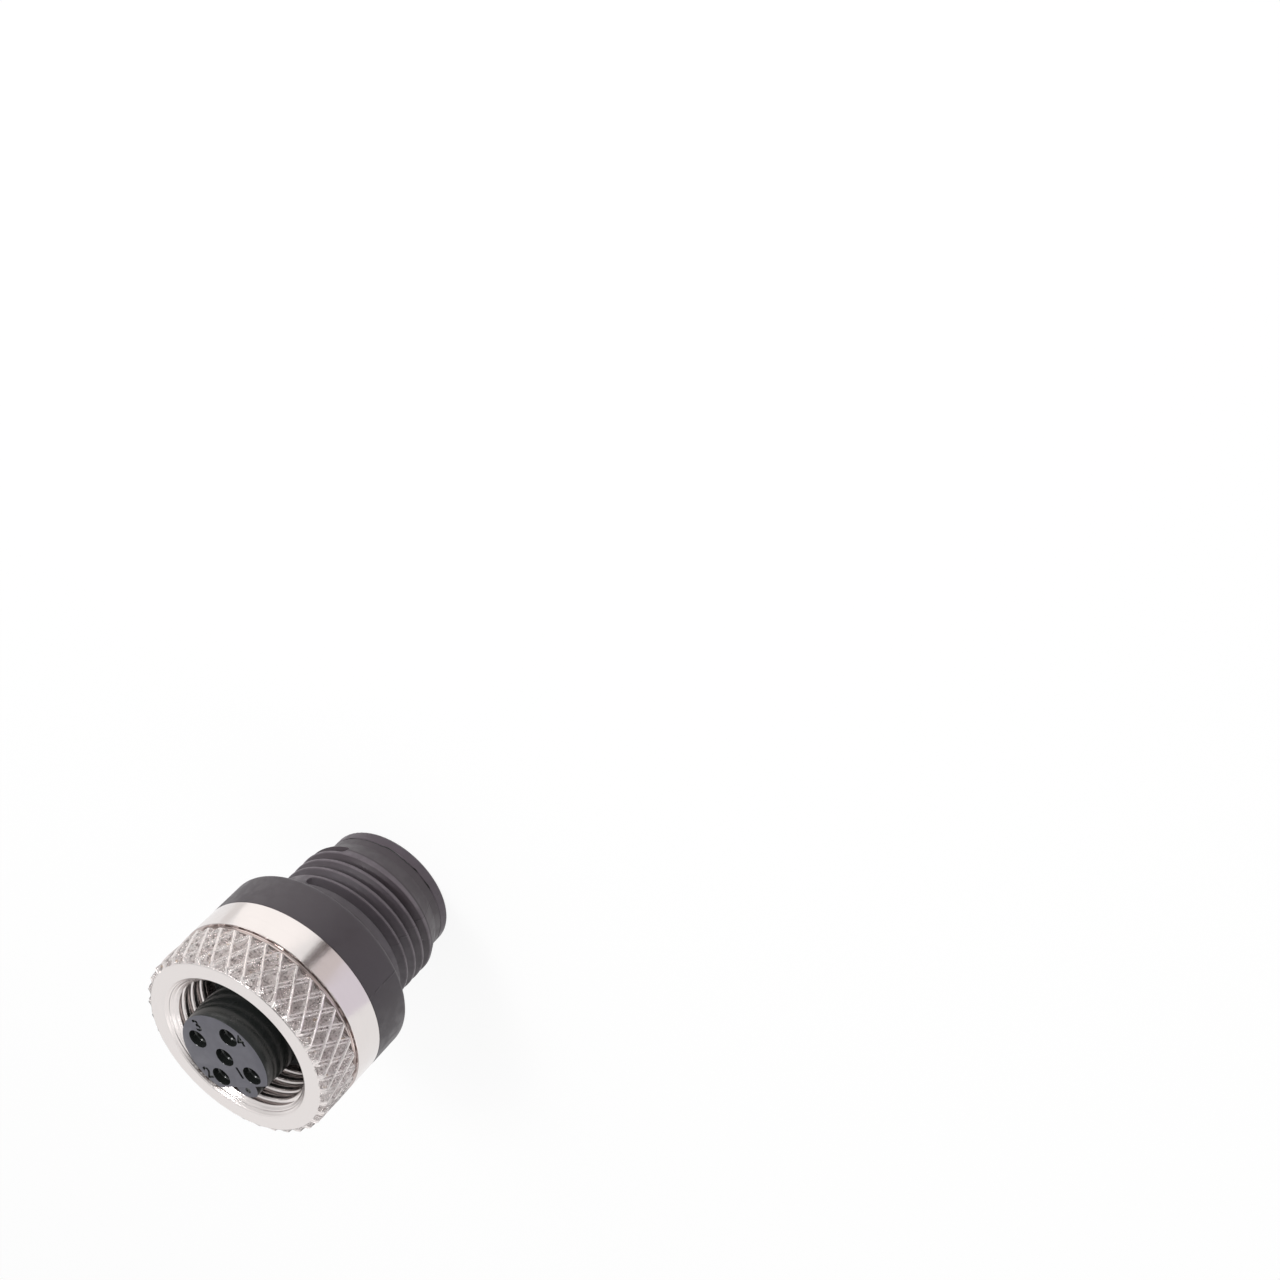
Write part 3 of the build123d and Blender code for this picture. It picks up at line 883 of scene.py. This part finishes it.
def makeHousingPlastic():
    v = housingPlasticValues
    material, tree, shader = newMaterial("housingPlastic", Specular_IOR_Level=0.5)
    place = placeInMillimetres(tree)
    about = useGroup(tree, aboutAxis, Place=place).outputs
    radius, height, angle = about["Radius"], about["Height"], about["Angle"]
    grain = useGroup(tree, fineGrain, Place=place, Size=v["grainSize"]).outputs
    specks = useGroup(tree, dustSpecks, Place=place, **v["specks"])
    # painted highlight on the thread's crests
    crest = times(tree, ramp(tree, height, *v["crestTop"]), ramp(tree, height, *v["crestBase"]),
                  ramp(tree, radius, *v["crestRadius"]))

    # joint between collar and rim, uneven and broken
    wander = times(tree, noise(tree, place, *v["jointNoise"]), v["jointWander"])
    joint = maths(tree, "SUBTRACT", maths(tree, "ADD", height, wander), v["jointHeight"])
    joint = ramp(tree, maths(tree, "ABSOLUTE", joint), *v["jointWidth"])
    joint = times(tree, joint, patches(tree, place, *v["jointPatches"]))

    # parting line of the mould, down both sides and broken
    seams = 0.0
    for seamAngle in v["seamAngles"]:
        away = maths(tree, "ABSOLUTE", maths(tree, "SUBTRACT", angle, seamAngle))
        seams = maths(tree, "MAXIMUM", seams, ramp(tree, away, *v["seamWidth"]))
    seams = times(tree, seams, patches(tree, place, *v["seamPatches"]))

    # painted light: the neck is painted paler than the grip, the rim paler towards the plug end, and the
    # thread's crests palest as painted highlights
    colour = v["grip"]
    for share, name in (
        (ramp(tree, height, *v["neckHeight"]), "neckPaintedLight"), (ramp(tree, height, *v["leadHeight"]), "lead"),
        (crest, "crest"), (ramp(tree, height, *v["rimHeight"]), "rimPaintedLight"),
        (times(tree, grain["Patches"], v["patchShare"]), "patch"), (joint, "joint"),
        (times(tree, specks, v["lintShare"]), "lint"), (times(tree, seams, v["seamShare"]), "seam"),
    ):
        colour = mixColours(tree, share, colour, v[name])
    bumps = addBump(tree, seams, v["seamDepth"])
    bumps = addBump(tree, grain["Height"], v["grainDepth"], bumps)
    connect(tree, shader, colour, ramp(tree, grain["Patches"], 0, 1, *v["roughness"]), bumps)
    return material


insertPlasticValues = {
    # the face colour is painted light on the upward front faces
    "face": (0.078, 0.076, 0.094, 1), "side": (0.015, 0.017, 0.016, 1), "patch": (0.03, 0.03, 0.034, 1),
    "lint": (0.4, 0.4, 0.42, 1), "patchShare": 0.15, "lintShare": 0.6,
    "faceHeight": (19.985, 19.995), "shelfHeight": 19.8, "shelfFade": (0.03, 0.012),
    "upward": (0.7, 0.9), "specks": {"Spacing": 0.9, "Size": 0.035, "Amount": 0.2},
    "roughness": 0.14, "satinRoughness": 0.28, "patchRoughness": 0.06,
    "grainSize": 0.09, "grainDepth": 0.002,
}


def makeInsertPlastic():
    v = insertPlasticValues
    material, tree, shader = newMaterial("insertPlastic", Specular_IOR_Level=0.5)
    place = placeInMillimetres(tree)
    height = useGroup(tree, aboutAxis, Place=place).outputs["Height"]
    grain = useGroup(tree, fineGrain, Place=place, Size=v["grainSize"]).outputs
    specks = useGroup(tree, dustSpecks, Place=place, **v["specks"])

    # satin on the front face and on the rib's front, polished down the sides and in the holes; the upward
    # front faces are also painted paler as painted light
    fromShelf = maths(tree, "ABSOLUTE", maths(tree, "SUBTRACT", height, v["shelfHeight"]))
    fronts = maths(tree, "MAXIMUM", ramp(tree, height, *v["faceHeight"]),
                   ramp(tree, fromShelf, *v["shelfFade"]))
    faces = addNode(tree, "ShaderNodeNewGeometry")
    upward = addNode(tree, "ShaderNodeSeparateXYZ", {0: faces.outputs["Normal"]}).outputs["Z"]
    satinAndPaintedLight = times(tree, fronts, ramp(tree, upward, *v["upward"]))
    # painted light: the upward front faces get the paler face colour
    colour = mixColours(tree, satinAndPaintedLight, v["side"], v["face"])
    colour = mixColours(tree, times(tree, grain["Patches"], v["patchShare"]), colour, v["patch"])
    colour = mixColours(tree, times(tree, specks, v["lintShare"]), colour, v["lint"])
    rough = maths(tree, "ADD", times(tree, satinAndPaintedLight, v["satinRoughness"]), v["roughness"])
    rough = maths(tree, "ADD", rough, times(tree, grain["Patches"], v["patchRoughness"]))
    connect(tree, shader, colour, rough, addBump(tree, grain["Height"], v["grainDepth"]))
    return material


# a new and a worn colour, and the least roughness, for each metal of the contacts
smallMetalValues = {
    "goldPlate": ((0.80, 0.58, 0.25, 1), (0.66, 0.46, 0.2, 1), 0.22),
    "springSteel": ((0.62, 0.61, 0.60, 1), (0.5, 0.49, 0.48, 1), 0.25),
    "grainSize": 0.05, "wornShare": 0.5, "uneven": 0.12, "ringSpacing": 0.04, "ringDepth": 0.001,
}


def makeSmallMetal(name):
    v = smallMetalValues
    bright, worn, roughness = v[name]
    material, tree, shader = newMaterial(name, Metallic=1.0)
    place = placeInMillimetres(tree)
    grain = useGroup(tree, fineGrain, Place=place, Size=v["grainSize"]).outputs
    height = useGroup(tree, aboutAxis, Place=place).outputs["Height"]
    rings = useGroup(tree, turnedRings, Radius=0.0, Height=height, Spacing=v["ringSpacing"])
    colour = mixColours(tree, times(tree, grain["Patches"], v["wornShare"]), bright, worn)
    rough = ramp(tree, grain["Patches"], 0, 1, roughness, roughness + v["uneven"])
    connect(tree, shader, colour, rough, addBump(tree, rings, v["ringDepth"]))
    return material


rubberValues = {
    "dark": (0.018, 0.018, 0.018, 1), "pale": (0.03, 0.03, 0.03, 1), "roughness": (0.55, 0.7),
    "specular": 0.35, "grainSize": 0.07, "grainDepth": 0.004,
}


def makeRubber():
    v = rubberValues
    material, tree, shader = newMaterial("sealRubber", Specular_IOR_Level=v["specular"])
    grain = useGroup(tree, fineGrain, Place=placeInMillimetres(tree), Size=v["grainSize"]).outputs
    colour = mixColours(tree, grain["Patches"], v["dark"], v["pale"])
    rough = ramp(tree, grain["Patches"], 0, 1, *v["roughness"])
    connect(tree, shader, colour, rough, addBump(tree, grain["Height"], v["grainDepth"]))
    return material


finishes = {
    "housing_plastic": makeHousingPlastic(),
    "insert_plastic": makeInsertPlastic(),
    "nickel_plate": makeNickel(),
    "gold_plate": makeSmallMetal("goldPlate"),
    "spring_steel": makeSmallMetal("springSteel"),
    "seal_rubber": makeRubber(),
}
dressed = [(frame["nodes"][part["node"]], part["material_slot"]) for part in frame["record"]["subparts"]]
dressed += [(couplingNut, "nickel_plate"), (mouldedHousing, "housing_plastic"),
            (socketStem, "insert_plastic")]
for piece, slot in dressed:
    piece.data.materials.clear()
    piece.data.materials.append(finishes[slot])
print("materials made:", ", ".join(finishes))


# floor and light
lightValues = {
    # floor, its size in m, and how what metal sees of it fades out, in mm from the axis
    "floorSize": 6, "floorDrop": 0.02, "floorColour": (0.9, 0.9, 0.9, 1), "floorRoughness": 0.9,
    "nearFloor": 42, "farFloor": 62, "farLevel": 0.3, "whiteToCamera": 0.9, "whiteToMetal": 0.85,
    # darker sides of the world: direction, cosines where the shade starts and is full, and its level
    "worldLevel": 0.62,
    "darkSides": (
        ((0.643, -0.766, -0.1), 0.05, 0.55, 0.68),
        ((-0.321, -0.557, 0.766), 0.80, 0.95, 0.14),
        ((-0.972, -0.102, 0.208), 0.88, 0.97, 0.2),
    ),
    # lamps: azimuth and elevation in degrees, distance and size in mm, and power
    "lampAim": 10,
    "lamps": {
        "softKey": (-62, 53, 220, 90, 0.17),
        "smallKey": (-62, 53, 215, 34, 0.09),
        "lowFill": (-40, 12, 230, 160, 0.10),
        "softSide": (165, 20, 250, 120, 0.06),
    },
    # cards: azimuth, then where one starts, its width and its height in mm, and its tone
    "cardEnd": 60,
    "cards": {
        "darkCard": (-103.4, 15, 5.0, 0.5, (0.14, 0.115, 0.115)),
        "greyCard": (-121, 16, 13, 0.3, (0.71, 0.65, 0.65)),
        "lilacCard": (-147, 16, 20.5, 0.3, (0.80, 0.76, 0.83)),
        "brightCard": (-52, 16, 34, 0.3, (1.23, 1.21, 1.19)),
        "greyCardBack": (-5, 16, 6, 0.4, (0.86, 0.84, 0.83)),
    },
}


def pathShare(tree, toCamera, toMetal):
    # how much of the plain white a ray sees: the camera's rays, and those that metal and glass send on
    path = addNode(tree, "ShaderNodeLightPath").outputs
    onward = maths(tree, "MAXIMUM", path["Is Glossy Ray"], path["Is Transmission Ray"])
    return maths(tree, "MAXIMUM", times(tree, path["Is Camera Ray"], toCamera),
                 times(tree, onward, toMetal))


def makeFloor():
    v = lightValues
    floor = startPrimitive("floor", bpy.ops.mesh.primitive_plane_add, size=v["floorSize"],
                           location=(0, 0, -v["floorDrop"] * mm))
    material, tree, shader = newMaterial(
        "paleFloor", Base_Color=v["floorColour"], Roughness=v["floorRoughness"])
    # white to the camera; what metal sees of it ends some way off
    spot = addNode(tree, "ShaderNodeTexCoord")
    away = vectors(tree, "LENGTH", spot.outputs["Object"]).outputs["Value"]
    level = ramp(tree, away, v["nearFloor"] * mm, v["farFloor"] * mm, 1.0, v["farLevel"])
    path = addNode(tree, "ShaderNodeLightPath")
    level = maths(tree, "MAXIMUM", level, path.outputs["Is Camera Ray"])
    glow = addNode(tree, "ShaderNodeEmission", {"Color": (1, 1, 1, 1), "Strength": level})
    share = pathShare(tree, v["whiteToCamera"], v["whiteToMetal"])
    blend = addNode(tree, "ShaderNodeMixShader", {0: share, 1: shader, 2: glow})
    setInput(tree, tree.nodes["Material Output"], "Surface", blend)
    floor.data.materials.append(material)


def makeWorld():
    v = lightValues
    world = bpy.data.worlds.new("studio")
    bpy.context.scene.world = world
    world.use_nodes = True
    tree = world.node_tree
    sky = tree.nodes["Background"]
    sky.inputs["Color"].default_value = (1, 1, 1, 1)
    # pale all round, and darker where the metal shows the camera's side
    direction = addNode(tree, "ShaderNodeTexCoord").outputs["Generated"]
    seen = 1.0
    for towards, start, full, level in v["darkSides"]:
        side = vectors(tree, "DOT_PRODUCT", direction, towards).outputs["Value"]
        seen = maths(tree, "MINIMUM", ramp(tree, side, start, full, 1.0, level), seen)
    share = pathShare(tree, 1.0, 1.0)
    strength = addNode(tree, "ShaderNodeMix", {0: share, 2: v["worldLevel"], 3: seen}, data_type="FLOAT")
    setInput(tree, sky, "Strength", strength)


def areaLight(name, azimuth, elevation, distance, size, power):
    light = bpy.data.objects.new(name, bpy.data.lights.new(name, "AREA"))
    bpy.context.scene.collection.objects.link(light)
    light.data.size = size * mm
    light.data.energy = power
    a, e = radians(azimuth), radians(elevation)
    away = Vector((cos(a) * cos(e), sin(a) * cos(e), sin(e)))
    light.location = Vector((0, 0, lightValues["lampAim"] * mm)) + away * distance * mm
    light.rotation_euler = away.to_track_quat("Z", "Y").to_euler()
    return light


def reflectedCard(name, azimuth, near, width, height, tone):
    # a card that lies beside the object and shows only in the metal
    far = lightValues["cardEnd"]
    card = startPrimitive(name, bpy.ops.mesh.primitive_plane_add, size=mm, location=(0, 0, 0))
    card.scale = (far - near, width, 1)
    moveMesh(card, (far + near) / 2, 0, height)
    turnMesh(card, azimuth)
    paper = newMaterial(name + "Paper", Base_Color=(0, 0, 0, 1), Roughness=1.0,
                        Emission_Color=(*tone, 1), Emission_Strength=1.0)
    card.data.materials.append(paper[0])
    card.visible_camera = False
    card.visible_shadow = False
    card.visible_diffuse = False
    card.visible_transmission = False


makeFloor()
makeWorld()
lamps = {name: areaLight(name, *values) for name, values in lightValues["lamps"].items()}
lamps["softKey"].visible_glossy = False  # only the small key shows as a glint
for name, values in lightValues["cards"].items():
    reflectedCard(name, *values)
print("floor, world, lights and cards made")

bpy.context.scene.view_settings.view_transform = "Standard"
